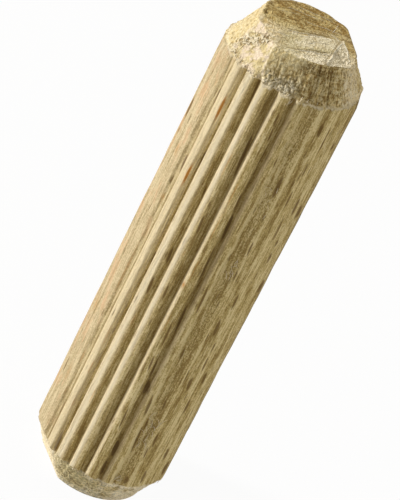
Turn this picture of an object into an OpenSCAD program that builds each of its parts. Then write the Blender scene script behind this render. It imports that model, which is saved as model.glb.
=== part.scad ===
// Fluted dowel pin, standing on its plain end. Millimetres, +Z up.
// The origin is the middle of the lower end face, and the front looks along -Y.
// Directions round the pin are degrees from the front, growing toward +X.

/* [Pin] */
// diameter over the crests of the flutes
pin_d = 8; // [6:0.1:14]
// length from end face to end face
pin_len = 30.5; // [20:0.5:80]

/* [Flutes] */
// how many flutes are pressed round the pin
flute_count = 24; // [16:1:30]
// depth of a flute where the press bit deepest
flute_depth = 0.3; // [0.12:0.01:0.34]
// depth of a flute where the press hardly bit
flute_shallow = 0.07; // [0.04:0.01:0.11]
// flat floor of a flute, as a share of the pitch
floor_share = 0.33; // [0.16:0.01:0.36]
// untouched crest beside the deepest flutes, as a share of the pitch
crest_sharp = 0.26; // [0.14:0.01:0.3]
// untouched crest beside the shallowest flutes, as a share of the pitch
crest_blunt = 0.57; // [0.3:0.01:0.6]
// direction of the first crest
crest_turn = 4; // [0:0.5:14.5]
// direction in which the press bit deepest, as it did on the far side too
deep_turn = -11.5; // [-90:0.5:90]

/* [Upper end] */
// length of the rough chamfer on the upper end
top_chamfer = 2.1; // [1:0.1:3]
// how much smaller the upper end face is than the pin, on the radius
top_inset = 1.16; // [0.6:0.02:1.8]
// how far the crests stand proud of the chamfer
top_step = 0.18; // [0.04:0.01:0.3]
// height of that step at the end of each crest
top_step_h = 0.12; // [0.06:0.01:0.3]
// how far the rough chamfer is off the axis
top_shift = 0.1; // [0:0.02:0.4]
// direction in which it is off the axis
shift_turn = -15; // [-60:1:60]
// how many flats the rough chamfer has
flat_count = 8; // [6:1:12]
// direction of the front flat
flat_turn = 2; // [-20:1:20]
// how far the flats bite into the edge of the end face
flat_bite = 0.14; // [0:0.01:0.4]
// how far the flats stay clear of the lower edge of the chamfer
flat_clear = 0.04; // [0:0.01:0.1]
// how far the odd flat at the rear bites into the end face
rear_bite = 0.42; // [0.05:0.01:0.6]
// direction of the odd flat at the rear
rear_turn = 114; // [100:1:160]
// lean of the odd flat away from upright
rear_lean = 31; // [26:0.5:38]
// slope of the broken front half of the end face
break_slope = 7; // [2:0.5:12]
// direction the broken half faces
break_turn = 8; // [-30:1:30]
// distance from the axis to the line where the break starts
break_start = 0.3; // [0:0.1:1.2]

/* [Lower end] */
// length of the chamfer on the lower end
foot_chamfer = 1.72; // [1:0.02:3]
// how much smaller the lower end face is than the pin, on the radius
foot_inset = 0.9; // [0.6:0.02:1.6]
// how far the crests stand proud of the lower chamfer
foot_step = 0.14; // [0.06:0.01:0.3]
// height of that step at the end of each crest
foot_step_h = 0.14; // [0.06:0.01:0.3]
// how far the odd flat on the lower end bites into the edge of its face
foot_bite = 0.43; // [0.05:0.01:0.7]
// direction of that flat
foot_turn = -56; // [-90:1:0]
// lean of that flat away from upright
foot_lean = 31; // [28:0.5:40]

/* [Colour] */
// bare beech
wood = [0.80, 0.69, 0.48];

/* [Hidden] */
pin_r = pin_d / 2;
pitch = 360 / flute_count;
over = 1;

// how hard the press bit in direction t, from 0 to 1
function bite(t) = sqrt(max(0, cos(2 * (t - deep_turn))));
function crest(i) = crest_turn + i * pitch;

// half angles of the untouched crest in direction t, and of the reed where it meets the floors
function crest_half(t) = (crest_blunt + (crest_sharp - crest_blunt) * bite(t)) * pitch / 2;
reed_half = (1 - floor_share) * pitch / 2;

// each crest is the top of a round reed, drawn through the edges of its crest and of its two floors
function floor_r(t) = pin_r - flute_shallow - (flute_depth - flute_shallow) * bite(t);
function reach(t) = pin_r * cos(crest_half(t)) - floor_r(t) * cos(reed_half);
function reed_at(t) = (pin_r * pin_r - floor_r(t) * floor_r(t)) / (2 * reach(t));
function reed_r(t) = norm([pin_r * cos(crest_half(t)) - reed_at(t), pin_r * sin(crest_half(t))]);

// the core has a corner under each crest, which makes the floor between two crests a flat
function corner(t) = floor_r(t) / cos(pitch / 2) * [sin(t), -cos(t)];

module fluted_section() {
    intersection() {
        circle(r = pin_r, $fn = 180);
        union() {
            polygon([for (i = [0 : flute_count - 1]) corner(crest(i))]);
            for (i = [0 : flute_count - 1]) {
                rotate(crest(i) - 90)
                    translate([reed_at(crest(i)), 0])
                        circle(r = reed_r(crest(i)), $fn = 36);
            }
        }
    }
}

// the crests up to their proud ends, below a chamfer of this length on the upper end
module crest_ends(length, step, step_h) {
    rotate_extrude($fn = 120)
        polygon([
            [0, -over],
            [pin_r + over, -over],
            [pin_r + over, pin_len - length - step_h * (step + over) / step],
            [pin_r - step, pin_len - length],
            [0, pin_len - length]
        ]);
}

// a round post whose top length tapers, from radius base to radius face
module tapered_post(length, base, face) {
    translate([0, 0, pin_len - length]) cylinder(h = length, r1 = base, r2 = face, $fn = 120);
    translate([0, 0, -over]) cylinder(h = pin_len - length + over, r = base, $fn = 120);
}

module upper_end() {
    crest_ends(top_chamfer, top_step, top_step_h);
    translate(top_shift * [sin(shift_turn), -cos(shift_turn), 0])
        tapered_post(top_chamfer, pin_r - top_step, pin_r - top_inset);
}

module lower_end() {
    upside_down() {
        crest_ends(foot_chamfer, foot_step, foot_step_h);
        tapered_post(foot_chamfer, pin_r - foot_step, pin_r - foot_inset);
    }
}

// the waste outside a flat that leans in toward the upper end face
module flat_waste(turn, distance, lean) {
    rotate([0, 0, turn - 90])
        translate([distance, 0, pin_len])
            rotate([0, -lean, 0])
                translate([0, -pin_d, -pin_d])
                    cube([pin_d, 2 * pin_d, 2 * pin_d]);
}

// the waste outside all the flats of the rough chamfer, which stop at its lower edge
module flats_waste() {
    face = pin_r - top_inset - flat_bite;
    base = pin_r - top_step + flat_clear;
    intersection() {
        translate([-pin_d, -pin_d, pin_len - top_chamfer]) cube(2 * pin_d);
        for (i = [0 : flat_count - 1]) {
            flat_waste(flat_turn + i * 360 / flat_count, face, atan((base - face) / top_chamfer));
        }
    }
}

// the waste above the broken front half of the end face
module break_waste() {
    rotate([0, 0, break_turn - 90])
        translate([break_start, 0, pin_len])
            rotate([0, break_slope, 0])
                translate([-pin_d, -pin_d, 0])
                    cube([3 * pin_d, 2 * pin_d, pin_d]);
}

// turns what is drawn for the upper end into the same thing for the lower end
module upside_down() {
    translate([0, 0, pin_len])
        mirror([0, 0, 1])
            children();
}

module dowel_pin() {
    color(wood)
    difference() {
        intersection() {
            linear_extrude(height = pin_len) fluted_section();
            upper_end();
            lower_end();
        }
        flats_waste();
        flat_waste(rear_turn, pin_r - top_inset - rear_bite, rear_lean);
        break_waste();
        upside_down() flat_waste(foot_turn, pin_r - foot_inset - foot_bite, foot_lean);
    }
}

dowel_pin();
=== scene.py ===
import math
from types import SimpleNamespace

import bpy
import numpy as np
from mathutils import Matrix, Vector


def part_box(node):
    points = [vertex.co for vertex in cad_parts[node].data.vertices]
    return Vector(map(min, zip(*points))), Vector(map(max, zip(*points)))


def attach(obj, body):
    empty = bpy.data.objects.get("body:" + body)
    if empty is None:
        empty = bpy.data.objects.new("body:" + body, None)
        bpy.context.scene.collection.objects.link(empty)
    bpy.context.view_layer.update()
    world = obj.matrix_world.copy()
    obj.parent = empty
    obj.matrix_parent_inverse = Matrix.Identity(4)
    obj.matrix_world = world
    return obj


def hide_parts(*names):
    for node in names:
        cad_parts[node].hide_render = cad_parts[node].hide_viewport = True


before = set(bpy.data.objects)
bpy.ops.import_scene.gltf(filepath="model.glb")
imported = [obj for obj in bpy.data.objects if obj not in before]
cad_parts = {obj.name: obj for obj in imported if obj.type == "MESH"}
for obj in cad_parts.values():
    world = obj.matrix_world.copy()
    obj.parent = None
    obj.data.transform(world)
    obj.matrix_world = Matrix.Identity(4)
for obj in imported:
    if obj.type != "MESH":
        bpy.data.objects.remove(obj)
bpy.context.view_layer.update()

# ---------------------------------------------------------------- sizes of the pin, in millimetres
MM = 0.001
pin_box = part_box("dowel_pin")
PIN_LEN = (pin_box[1][2] - pin_box[0][2]) / MM
PIN_R = (pin_box[1][0] - pin_box[0][0]) / 2 / MM
SINK = 0.004            # every surface stays this far inside the turned size

FLUTES = 24
PITCH = 360 / FLUTES
FLUTE_DEPTH = 0.3
FLUTE_SHALLOW = 0.07
FLOOR_SHARE = 0.33
CREST_SHARP = 0.26
CREST_BLUNT = 0.57
CREST_TURN = 4.0
DEEP_TURN = -11.5

TOP_CHAMFER = 2.1
TOP_INSET = 1.16
TOP_STEP = 0.18
TOP_STEP_H = 0.12
TOP_SHIFT = 0.1
SHIFT_TURN = -15
FLATS = 8
FLAT_TURN = 2
FLAT_BITE = 0.14
FLAT_CLEAR = 0.04
REAR_BITE = 0.42
REAR_TURN = 114
REAR_LEAN = 31
BREAK_SLOPE = 7
BREAK_TURN = 8
BREAK_START = 0.3
CORNER_TURN = FLAT_TURN - 180 / FLATS     # between the front flat and the next one to the left

FOOT_CHAMFER = 1.72
FOOT_INSET = 0.9
FOOT_STEP = 0.14
FOOT_STEP_H = 0.14
FOOT_BITE = 0.43
FOOT_TURN = -56
FOOT_LEAN = 31

TOP_EDGE = PIN_LEN - TOP_CHAMFER
COLUMNS = 432


# ---------------------------------------------------------------- seeded noise on numpy arrays
def lattice(ix, iy, iz, seed):
    """A number from 0 to 1 that is always the same at the same whole-numbered place."""
    h = ix * np.int64(374761393) + iy * np.int64(668265263) + iz * np.int64(2246822519) + seed * 974711
    h = (h ^ (h >> 13)) & 0xFFFFFFFF
    h = (h * np.int64(1274126177)) & 0xFFFFFFFF
    h = h ^ (h >> 16)
    return (h & 0xFFFFFF) / float(0xFFFFFF)


def noise(x, y, z, seed=0):
    """Smooth noise from -1 to 1, one lump per unit."""
    x, y, z = np.broadcast_arrays(x, y, z)
    cells = [np.floor(a).astype(np.int64) for a in (x, y, z)]
    parts = [a - np.floor(a) for a in (x, y, z)]
    fx, fy, fz = [p * p * p * (p * (p * 6 - 15) + 10) for p in parts]
    total = 0
    for dx in (0, 1):
        for dy in (0, 1):
            for dz in (0, 1):
                weight = (fx if dx else 1 - fx) * (fy if dy else 1 - fy) * (fz if dz else 1 - fz)
                total += weight * lattice(cells[0] + dx, cells[1] + dy, cells[2] + dz, seed)
    return total * 2 - 1


def lumps(p, size, seed):
    """Rounded lumps with sharp creases between them, 0 in a crease and about 1 on a lump."""
    n = noise(p[0] / size, p[1] / size, p[2] / size, seed)
    m = noise(p[0] / size * 2.1, p[1] / size * 2.1, p[2] / size * 2.1, seed + 5)
    return np.sqrt(np.abs(n) * 1.2 + 0.02) * 0.65 + np.sqrt(np.abs(m) + 0.02) * 0.35


def ease(low, high, value):
    """0 below low, 1 above high, smooth between."""
    t = np.clip((value - low) / (high - low), 0, 1)
    return t * t * (3 - 2 * t)


def bump(value, centre, width):
    """1 at the centre, falling to a third at one width."""
    return np.exp(-((value - centre) / width) ** 2)


def softmin(a, b, k):
    """The smaller of two, with the corner between them rounded over k."""
    h = np.clip(0.5 + 0.5 * (b - a) / k, 0, 1)
    return b * (1 - h) + a * h - k * h * (1 - h)


def softmax(a, b, k):
    return -softmin(-a, -b, k)


def around(turn):
    """The plan direction of an angle from the front."""
    return math.sin(math.radians(turn)), -math.cos(math.radians(turn))


def apart(theta, turn):
    """Degrees from a direction round to theta, the short way."""
    return (theta - turn + 180) % 360 - 180


# ---------------------------------------------------------------- the turned and pressed form
def bite(t):
    """How hard the press bit in a direction, from 0 to 1."""
    return np.sqrt(np.maximum(0, np.cos(np.radians(2 * (t - DEEP_TURN)))))


def fluted_radius(theta):
    """Outline of the fluted section: round reeds on a core with flat floors."""
    r = np.zeros_like(theta)
    corners = []
    for i in range(FLUTES):
        t = CREST_TURN + i * PITCH
        b = bite(np.array(t, float))
        floor_r = PIN_R - FLUTE_SHALLOW - (FLUTE_DEPTH - FLUTE_SHALLOW) * b
        half = math.radians((CREST_BLUNT + (CREST_SHARP - CREST_BLUNT) * b) * PITCH / 2)
        foot = math.radians((1 - FLOOR_SHARE) * PITCH / 2)
        reach = PIN_R * math.cos(half) - floor_r * math.cos(foot)
        at = (PIN_R ** 2 - floor_r ** 2) / (2 * reach)
        reed = math.hypot(PIN_R * math.cos(half) - at, PIN_R * math.sin(half))
        d = np.radians(apart(theta, t))
        off = at * np.sin(d)
        hit = (np.abs(off) < reed) & (np.abs(d) < 1)
        far = at * np.cos(d) + np.sqrt(np.maximum(0, reed ** 2 - off ** 2))
        r = np.where(hit, np.maximum(r, far), r)
        corners.append((t, floor_r / math.cos(math.radians(PITCH / 2))))
    core = np.zeros_like(theta)
    for (t0, r0), (_, r1) in zip(corners, corners[1:] + corners[:1]):
        a = np.radians(apart(theta, t0))
        w = math.radians(PITCH)
        inside = (a >= -1e-9) & (a < w)
        a = np.clip(a, 0, w)
        core = np.where(inside, r0 * r1 * math.sin(w) / (r0 * np.sin(a) + r1 * np.sin(w - a)), core)
    r = softmax(r, core, 0.03)
    return softmin(r, np.full_like(r, PIN_R), 0.02)


def off_axis_circle(theta, radius, shift, turn):
    d = np.radians(apart(theta, turn))
    return shift * np.cos(d) + np.sqrt(np.maximum(0, radius ** 2 - (shift * np.sin(d)) ** 2))


def flat(theta, turn, distance):
    """How far out a flat lies in each direction."""
    c = np.cos(np.radians(apart(theta, turn)))
    return np.where(c > 0.05, distance / np.maximum(c, 0.05), 99)


def corner_turn(down):
    """Where the bright left flat of the chamfer meets the front one."""
    return CORNER_TURN - 5.6 + 5.4 * np.clip(down, 0.2, 1.7)


def upper_radius(theta, down):
    """The upper end's limit at a depth below the end face: the off-axis cone and its flats."""
    base, face = PIN_R - TOP_STEP, PIN_R - TOP_INSET
    share = np.clip(down / TOP_CHAMFER, 0, 1)
    r = off_axis_circle(theta, face + (base - face) * share, TOP_SHIFT, SHIFT_TURN)
    leaned = theta - (corner_turn(down) - CORNER_TURN) * bump(theta, CORNER_TURN, 8)
    above = down <= TOP_CHAMFER
    for i in range(FLATS):
        d = face - FLAT_BITE + (base + FLAT_CLEAR - face + FLAT_BITE) * share
        r = np.where(above, softmin(r, flat(leaned, FLAT_TURN + i * 360 / FLATS, d), 0.03), r)
    rear = face - REAR_BITE + math.tan(math.radians(REAR_LEAN)) * down
    ends = np.where(above, 0, base + (down - TOP_CHAMFER) * TOP_STEP / TOP_STEP_H)
    return softmin(np.maximum(r, ends), flat(theta, REAR_TURN, rear), 0.03)


def lower_radius(theta, up):
    """The lower end's limit at a height above the lower face."""
    base, face = PIN_R - FOOT_STEP, PIN_R - FOOT_INSET
    share = np.clip(up / FOOT_CHAMFER, 0, 1)
    r = face + (base - face) * share
    r = np.where(up > FOOT_CHAMFER, base + (up - FOOT_CHAMFER) * FOOT_STEP / FOOT_STEP_H, r)
    d = face - FOOT_BITE + math.tan(math.radians(FOOT_LEAN)) * up
    return softmin(r, flat(theta, FOOT_TURN, d), 0.05)


# ---------------------------------------------------------------- the broken end face
# fine scratches: start, end and height, where a minus is a cut
SCRATCHES = (
    ((-1.07, -0.92), (1.0, -0.05), 0.03), ((-0.72, -0.26), (0.1, -0.03), -0.05),
    ((-0.1, -0.75), (0.35, -0.1), 0.03), ((1.03, 0.65), (1.55, 0.4), 0.05), ((1.2, 2.4), (1.05, 0.8), 0.03),
    ((-0.6, -1.5), (0.5, -1.45), 0.03), ((-2.3, -0.63), (-2.53, -0.1), -0.06),
    ((0.2, -1.3), (0.8, -0.4), -0.025), ((-0.9, -2.0), (-0.2, -1.9), 0.03),
    ((-1.9, 0.4), (-0.9, 0.1), -0.03), ((2.1, -1.4), (2.45, -1.0), -0.05),
)
# bruises on the rim, the three at the left first: plan position, size and depth
BRUISES = (
    (-2.5, -0.25, 0.2, 0.16), (-2.3, 0.85, 0.22, 0.12), (-2.35, -1.3, 0.16, 0.07),
    (0.9, 2.4, 0.3, 0.08), (-1.2, 2.2, 0.3, 0.06), (0.1, -2.75, 0.16, 0.07),
)
# brown patches: plan position, half length, half width, direction and strength
PATCHES = (
    (-1.15, 0.95, 0.55, 0.16, -52, 0.7), (-0.1, 1.25, 0.32, 0.13, 32, 0.9),
    (-1.83, -1.13, 0.25, 0.14, 20, 0.5), (-2.13, -0.8, 0.3, 0.15, 30, 0.5),
    (-1.26, -1.75, 0.3, 0.12, 25, 0.4), (0.36, -1.62, 0.25, 0.1, 30, 0.5),
    (1.3, 2.3, 0.5, 0.2, -40, 0.7), (-1.9, 1.7, 0.5, 0.15, 50, 0.5), (-0.6, 2.2, 0.8, 0.14, 10, 0.5),
    (0.9, 1.3, 0.5, 0.12, 20, 0.4), (1.9, 1.2, 0.3, 0.14, -60, 0.5), (-1.7, 0.1, 0.4, 0.2, 30, 0.3),
)
SPLIT_X, SPLIT_Y = 0.85, 0.526     # plan direction in which the wood split


def along_split(x, y):
    """Plan coordinates along and across the split."""
    return x * SPLIT_X + y * SPLIT_Y, -x * SPLIT_Y + y * SPLIT_X


def across(x, y, start, end):
    """Distance to the left of a line, and how far along it, as a share."""
    sx, sy = end[0] - start[0], end[1] - start[1]
    length = math.hypot(sx, sy)
    aside = ((x - start[0]) * -sy + (y - start[1]) * sx) / length
    return aside, ((x - start[0]) * sx + (y - start[1]) * sy) / length ** 2


def line_mark(height, line, share, width, fade_in=0.1, fade_out=(1.1, 1)):
    """So much height along a line, fading at both its ends."""
    return height * bump(line, 0, width) * ease(0, fade_in, share) * ease(*fade_out, share)


def scratch_mark(height, x, y, start, end, width):
    """A line_mark that wavers."""
    line, share = across(x, y, start, end)
    return line_mark(height, line + 0.02 * np.sin(share * 9), share, width, 0.15, (1, 0.85))


def bruise_mark(x, y, at_x, at_y, size):
    """1 in the middle of a bruise on the end face, falling to a third at its size."""
    return np.exp(-((x - at_x) ** 2 + (y - at_y) ** 2) / size ** 2)


def end_parts(x, y):
    """The parts the end face broke into, each from 0 to 1, and the distances to the lines between them."""
    ledge, ledge_s = across(x, y, (-0.5, -2.3), (1.45, -1.25))
    wing, wing_s = across(x, y, (-1.15, -1.05), (1.15, 0.25))
    corner, corner_s = across(x, y, (1.50, -2.5), (1.75, 0.5))
    corner_b, corner_bs = across(x, y, (2.6, -0.9), (1.75, 0.5))
    bent = wing + 0.12 * bump(wing_s, 0.45, 0.3)
    right = ease(0.03, -0.03, corner) * ease(-0.05, 0.05, corner_b)
    front = ease(0.05, -0.05, ledge) * (1 - right) * ease(-0.05, 0.3, ledge_s) * ease(0.05, -0.02, -corner)
    middle = (1 - front) * (1 - right) * ease(0.06, -0.06, bent) * ease(-1.5, -0.75, x)
    middle *= ease(0.1, -0.1, -corner)
    back = (1 - front) * (1 - middle) * (1 - right)
    return SimpleNamespace(
        right=right, front=front, middle=middle, back=back,
        ledge=ledge, ledge_s=ledge_s, wing=bent, wing_s=wing_s,
        corner=corner, corner_s=corner_s, corner_b=corner_b, corner_bs=corner_bs,
    )


def end_face_drop(x, y):
    """How far the broken end face lies below the pin's full length."""
    dx, dy = around(BREAK_TURN)
    s = x * dx + y * dy - BREAK_START
    drop = math.tan(math.radians(BREAK_SLOPE)) * np.maximum(0, s)
    part = end_parts(x, y)
    rim = ease(3.1, 2.3, np.hypot(x, y))
    # the split middle rises to the right out of a hollow on the left
    drop += part.middle * np.clip(0.05 - 0.08 * (x + 0.8), -0.09, 0.07) * (0.4 + 0.6 * rim)
    drop += 0.05 * bump(part.ledge, 0.28, 0.4) * ease(0.7, -0.6, x) * ease(-2.6, -1.6, x)
    # the front ledge lies a little lower behind a thin lip
    lowered = 0.13 * ease(-0.1, -0.9, part.ledge) * ease(-0.4, 0.3, x) * ease(2.0, 1.2, x)
    drop += part.front * (0.01 - lowered)
    lip_run = ease(-0.1, 0.1, part.ledge_s) * ease(1.05, 0.95, part.ledge_s)
    drop += 0.05 * bump(part.ledge, 0.06, 0.06) * lip_run
    # a furrow behind the middle, a scratch and a chip on the right
    along = ease(-0.02, 0.2, part.wing_s) * ease(1.1, 0.85, part.wing_s)
    drop += 0.06 * bump(part.wing, 0.05, 0.08) * along
    drop -= line_mark(0.04, part.corner, part.corner_s, 0.045)
    drop -= line_mark(0.03, part.corner_b, part.corner_bs, 0.04)
    drop -= part.right * 0.03
    turn = np.degrees(np.arctan2(x, -y))
    drop += (0.13 * bump(turn, 64, 13) - 0.07 * bump(turn, 27, 10)) * ease(1.9, 2.6, np.hypot(x, y))
    for start, end, height in SCRATCHES:
        drop -= scratch_mark(height, x, y, start, end, 0.04)
    for bx, by, size, depth in BRUISES:
        drop += depth * bruise_mark(x, y, bx, by, size)
    u, v = along_split(x, y)
    calm = 1 - 0.6 * part.back
    drop = drop + 0.045 * noise(x / 0.9, y / 0.9, 0.3, 41) + 0.02 * noise(u / 0.8, v / 0.14, 0.7, 42) * calm
    drop += 0.03 * lumps((x, y, x * 0), 0.30, 43) * calm * (1.2 - part.middle)
    drop += 0.012 * noise(x / 0.13, y / 0.13, 0.2, 44) * calm
    return np.maximum(SINK, drop)


# ---------------------------------------------------------------- rows and columns of the side
def spaced(start, stop, step):
    """Even heights from start to stop, about a step apart."""
    count = max(2, int(round(abs(stop - start) / step)) + 1)
    return np.linspace(start, stop, count)


turns = np.arange(COLUMNS) * 360.0 / COLUMNS - 180
col_x, col_y = np.sin(np.radians(turns)), -np.cos(np.radians(turns))

# the rim lies where the chamfer meets the broken face, which a few rounds find
rim_r = upper_radius(turns, np.zeros(COLUMNS))
for _ in range(8):
    rim_drop = end_face_drop(rim_r * col_x, rim_r * col_y)
    rim_r = upper_radius(turns, rim_drop)

# rows lie close together where the form turns, and far apart along the shaft
rows = []
for share in spaced(0, 1, 0.024):
    rows.append((PIN_LEN - rim_drop) * (1 - share) + (TOP_EDGE + 0.001) * share)
heights = np.concatenate([
    spaced(TOP_EDGE - 0.012, TOP_EDGE - 0.42, 0.03),
    spaced(TOP_EDGE - 0.52, FOOT_CHAMFER + 0.62, 0.34),
    spaced(FOOT_CHAMFER + 0.5, FOOT_CHAMFER - 0.05, 0.035),
    spaced(FOOT_CHAMFER - 0.12, 0, 0.075),
])
rows += [np.full(COLUMNS, h) for h in heights]
z = np.array(rows)
theta = np.broadcast_to(turns, z.shape)
at_x, at_y = np.broadcast_to(col_x, z.shape), np.broadcast_to(col_y, z.shape)


def streaks(wide, tall, seed):
    """Noise over the side, in lumps so many degrees wide and so many millimetres tall."""
    return noise(theta / wide, z / tall, 0.5, seed)


def striped(values, *stripes):
    """Values with soft upright stripes added, each given by its direction, half width and strength."""
    for turn, half, strength in stripes:
        values = values + strength * bump(theta, turn, half)
    return values


# the press wandered a little, round the pin and along it
wander = striped(0, (-38, 7, 1.1), (-46.5, 3, -0.9), (-30.5, 3, -1.6), (-24.5, 2, 0.6), (-15.5, 4, -0.9))
wander = wander - (0.5 - 0.02 * z) * bump(theta, -1, 5) + 1.4 * bump(theta, 10, 5)
wander = wander + 0.2 * noise(z / 6, theta / 30, 0.5, 3) + 0.05 * noise(z / 1.7, theta / 9, 0.5, 4)
section = fluted_radius(theta - wander) + 0.035 * bump(theta, -63.5, 3.5)
groove = np.clip((PIN_R - section) / FLUTE_DEPTH, 0, 1)

# where the upper end, the lower end and the shaft lie, each from 0 to 1
up_end = ease(TOP_EDGE - 0.03, TOP_EDGE + 0.03, z)
low_end = ease(FOOT_CHAMFER + 0.03, FOOT_CHAMFER - 0.03, z)
shaft = (1 - up_end) * (1 - low_end)
below_rim = PIN_LEN - rim_drop - z
point = (PIN_R * at_x, PIN_R * at_y, z)


def grained(wide, tall, seed):
    """Noise through the wood, in lumps so many millimetres wide and so many tall."""
    return noise(point[0] / wide, point[1] / wide, z / tall, seed)


# fine ridges left on the floors of the flutes, with a crease beside the largest: direction and height
for turn, height in ((-49.2, 0.02), (-36.8, -0.06), (-35.0, 0.21), (-20.5, 0.03)):
    ridge = bump(theta, turn + 0.2 * noise(z / 3, turn, 0.5, 39), 0.8)
    section += height * ridge * (0.75 + 0.25 * noise(z / 2, 0.5, turn, 6))
# nicked crests and drawn grain
section -= 0.02 * ease(0.2, 0.8, grained(0.5, 1.4, 7)) * (1 - groove)
section -= 0.014 * (1 + grained(0.16, 3.5, 8))
section -= 0.012 * (1 + grained(0.45, 5, 9))
fuzz = bump(theta, 31, 4.5) + 0.8 * bump(theta, 10.5, 2) * bump(z, 28, 0.6)
torn = bump(theta, 31.5, 4) * bump(z, 5.6, 1.0) + 0.7 * bump(theta, 24, 3) * bump(z, 2.1, 0.5)
lean = theta + 3.2 * (z - 5.5)
section -= (0.02 * fuzz + 0.06 * torn) * (1 + noise(lean / 1.3, z / 0.9, 0.5, 10))

# ragged ends of the crests
ragged = 0.08 * noise(theta / 9, 0.5, 0.5, 11) + 0.10 * noise(theta / 1.7, 0.5, 0.5, 12)
ragged_low = 0.09 * noise(theta / 8, 0.5, 0.5, 13) + 0.10 * noise(theta / 1.8, 0.5, 0.5, 14)
section -= 0.16 * bump(theta, 90, 13) * ease(TOP_EDGE - 0.9, TOP_EDGE + 0.1, z)
higher = 0.35 * bump(theta, 92, 13) + 0.18 * bump(theta, -82, 12)
moved = z + ragged * bump(z, TOP_EDGE, 0.4) - higher * bump(z, TOP_EDGE + 0.2, 0.9)
moved += ragged_low * bump(z, FOOT_CHAMFER, 0.35)
moved += 0.4 * bump(theta, 86, 12) * bump(z, FOOT_CHAMFER - 0.2, 0.8)

# the parts of the upper chamfer: the bright left flat, the crumbled front left and the drawn front right
past = theta - corner_turn(below_rim)
left_flat = ease(-66, -58, theta) * ease(0.7, -0.7, past)
front_left = ease(-0.7, 0.7, past) * ease(20, 6, theta)
front_right = ease(4, 18, theta) * ease(95, 70, theta)
rest = np.clip(1 - left_flat - front_left - front_right, 0, 1)
crease = bump(past, 0, 1.5) * ease(1.75, 1.4, below_rim)
low_edge = bump(below_rim, 1.9, 0.3)
band = bump(below_rim, 0.25 - 0.055 * (theta + 40), 0.42) * ease(-27, -38, theta)
band = np.maximum(band, 0.6 * low_edge)
crumbs = ease(0.25, 0.8, lumps(point, 0.19, 21))
grit = ease(0.3, 0.8, lumps(point, 0.13, 22))
torn_out = ease(0.5, 0.15, lumps((point[0], point[1], z * 1.6), 0.18, 45))
# torn-out pits in the left flat, coloured with painted warm shade
gaps = left_flat * (0.12 + 0.88 * band) * torn_out * ease(1.9, 1.6, below_rim)
fine = grained(0.11, 0.11, 23)
strokes = streaks(2.2, 1.6, 24) + 0.8 * streaks(1.2, 0.7, 25)
cross = streaks(7, 0.16, 27)
low_half = ease(0.7, 1.5, below_rim)
rough = left_flat * (0.01 + 0.05 * band) * (1 - crumbs) + left_flat * (0.01 + 0.04 * band) * (1 - grit)
rough += front_left * (0.02 + 0.05 * low_half) * (1 - crumbs)
rough += front_left * (0.03 + 0.06 * low_half) * (1 - grit)
drawn_out = 0.03 * (1 - strokes * 0.6) + 0.03 * (1 - crumbs) + 0.03 * (1 - grit) + 0.014 * cross
rough += front_right * drawn_out
rough += rest * (0.03 * (1 - crumbs) + 0.03 * (1 - grit) + 0.02 * (1 - strokes * 0.5))
rough += 0.05 * gaps
rough = rough * (1 - 0.75 * crease) + 0.012 * (1 + fine)
# the front hollows a little under its rim, and long cuts run down its right
rough += 0.08 * bump(theta, 20, 14) * bump(below_rim, 0.45, 0.22)
# direction, half width, depth and how far down each cut starts
LONG_CUTS = (
    (41, 0.8, 0.09, 0.2), (33, 0.6, 0.05, 0.5), (27, 0.6, 0.05, 0.2),
    (47, 0.7, 0.03, 0.5), (21, 0.5, 0.04, 0.7),
)
for turn, width, depth, top in LONG_CUTS:
    wavy = turn + 1.2 * noise(z / 0.6, turn, 0.5, 26)
    rough += depth * bump(theta, wavy, width) * ease(top, top + 0.4, below_rim) * (0.6 + 0.4 * cross)
# a straight scratch across the left flat
TURN_PER_MM = 14         # degrees round the pin to a millimetre, roughly
scratch, scratch_s = across(theta, below_rim * TURN_PER_MM, (-52, 15.0), (-28, 17.5))
rough += line_mark(0.05, scratch, scratch_s, 0.7, 0.1, (1, 0.9)) * up_end
rough *= ease(0.0, 0.16, below_rim)
rough_low = 0.05 * (1 - crumbs) + 0.03 * (1 - grit) + 0.012 * (1 + fine)
rough_low *= ease(0, 0.15, z)

moved_down = PIN_LEN - moved
radius = np.minimum(section, upper_radius(theta, moved_down) - rough * up_end)
radius = np.minimum(radius, lower_radius(theta, moved) - rough_low * low_end)
radius = np.minimum(radius, PIN_R - SINK)
x, y = radius * at_x, radius * at_y
side = np.stack([x, y, z], -1)

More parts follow.
